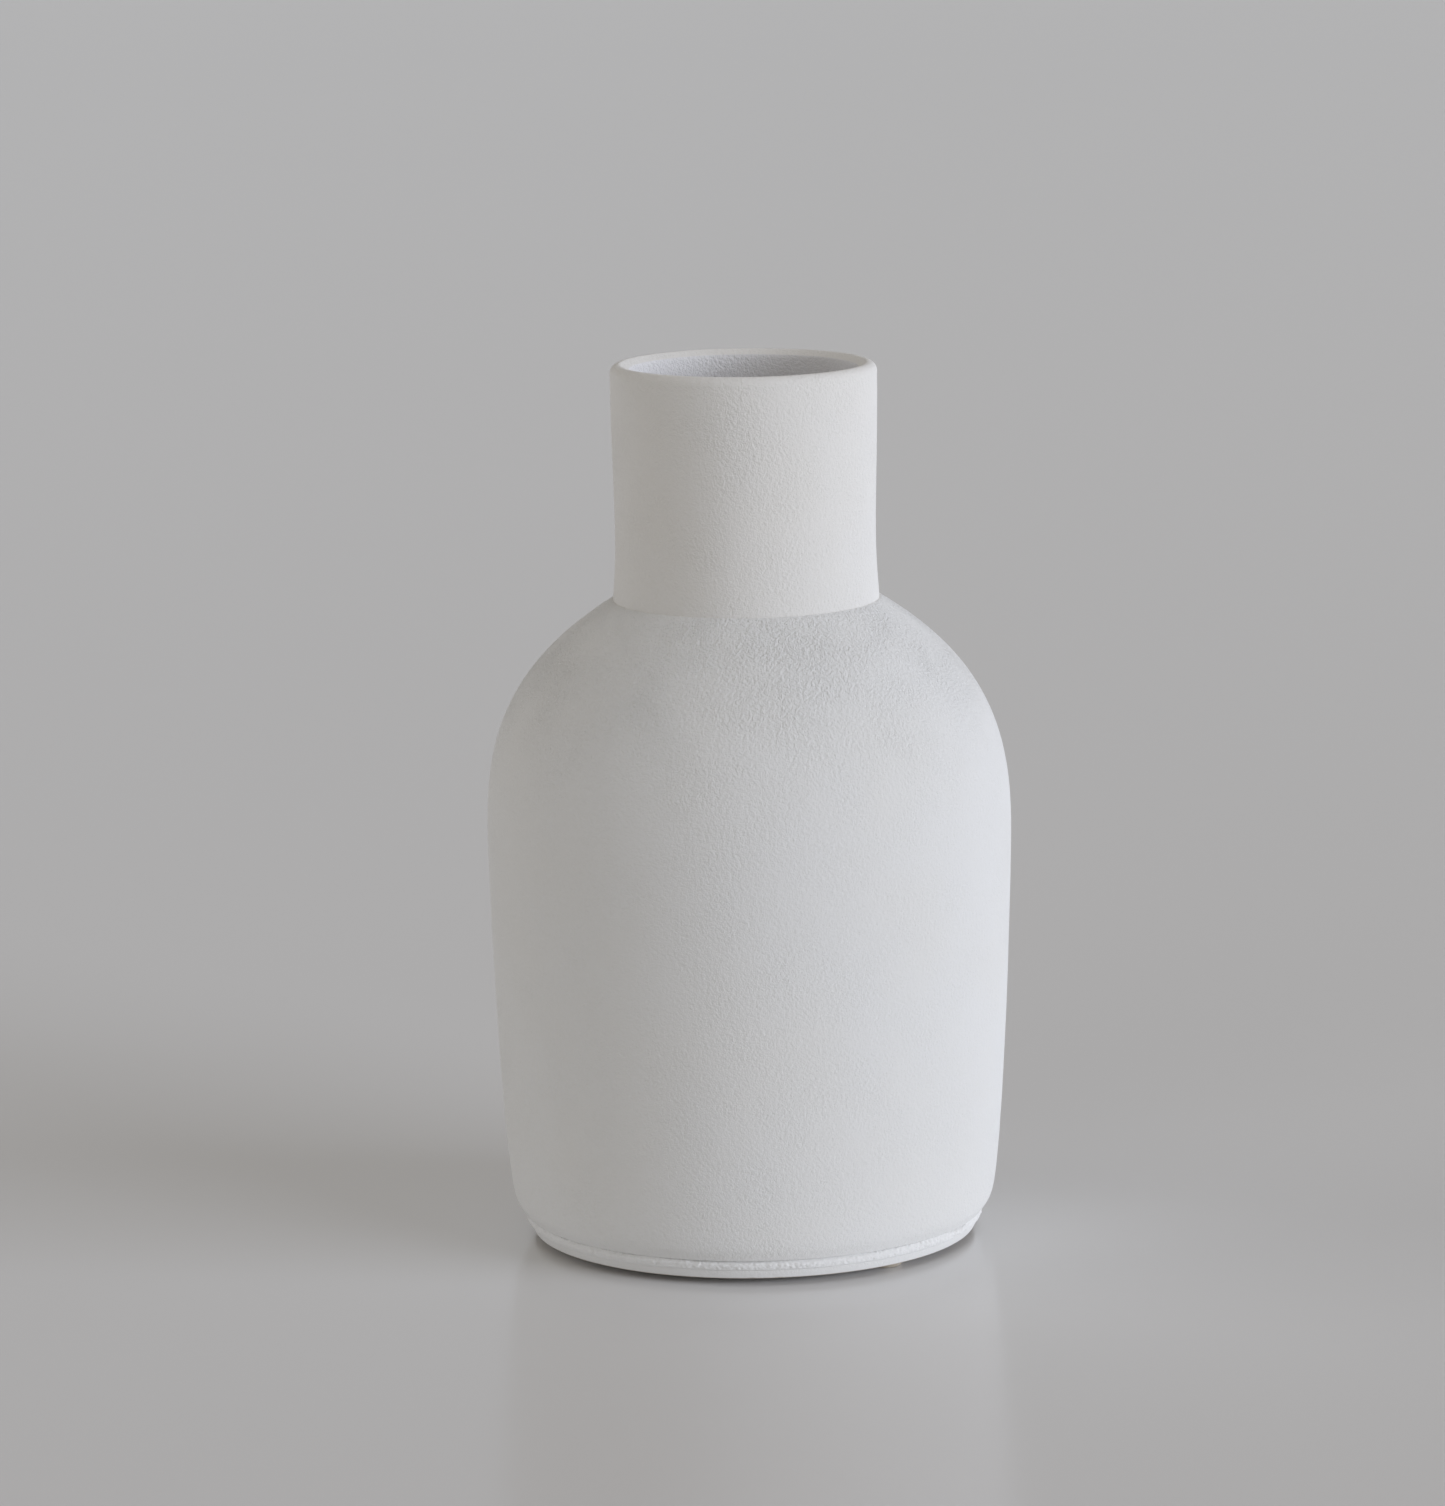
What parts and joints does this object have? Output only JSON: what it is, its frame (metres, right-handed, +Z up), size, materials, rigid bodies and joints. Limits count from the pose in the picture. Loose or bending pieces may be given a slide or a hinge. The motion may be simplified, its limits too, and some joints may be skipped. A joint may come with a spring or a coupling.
{
  "type": "bud vase",
  "caption": "Matt white ceramic bud vase with a straight-sided bellied body, round shoulder, cylindrical neck and a seamed foot on small bumpers.",
  "frame": {"origin": "on the vase's axis, on the surface that it stands on (the undersides of the bumpers)", "axes": "+Z up along the vase's axis, -Y towards the viewer, +X to the viewer's right"},
  "size_m": [0.0892, 0.0892, 0.15],
  "materials": {
    "matt_glaze": "matt white glaze with a fine sandy, eggshell-like grain",
    "slip": "dry white slip, squeezed out as a ragged bead",
    "liner_glaze": "smooth glossy liner glaze",
    "clear_rubber": "translucent soft bumper",
    "adhesive": "clear adhesive film with an ochre tint"
  },
  "bodies": {
    "root": {"base_disc": "matt_glaze", "base_slip_joint": "slip", "body_shell": "matt_glaze", "neck_slip_joint": "slip", "neck_collar": "matt_glaze", "liner_glaze": "liner_glaze", "bumper_front": "clear_rubber", "bumper_front_adhesive": "adhesive", "bumper_rear": "clear_rubber", "bumper_rear_adhesive": "adhesive", "bumper_left": "clear_rubber", "bumper_left_adhesive": "adhesive"}
  },
  "joints": []
}
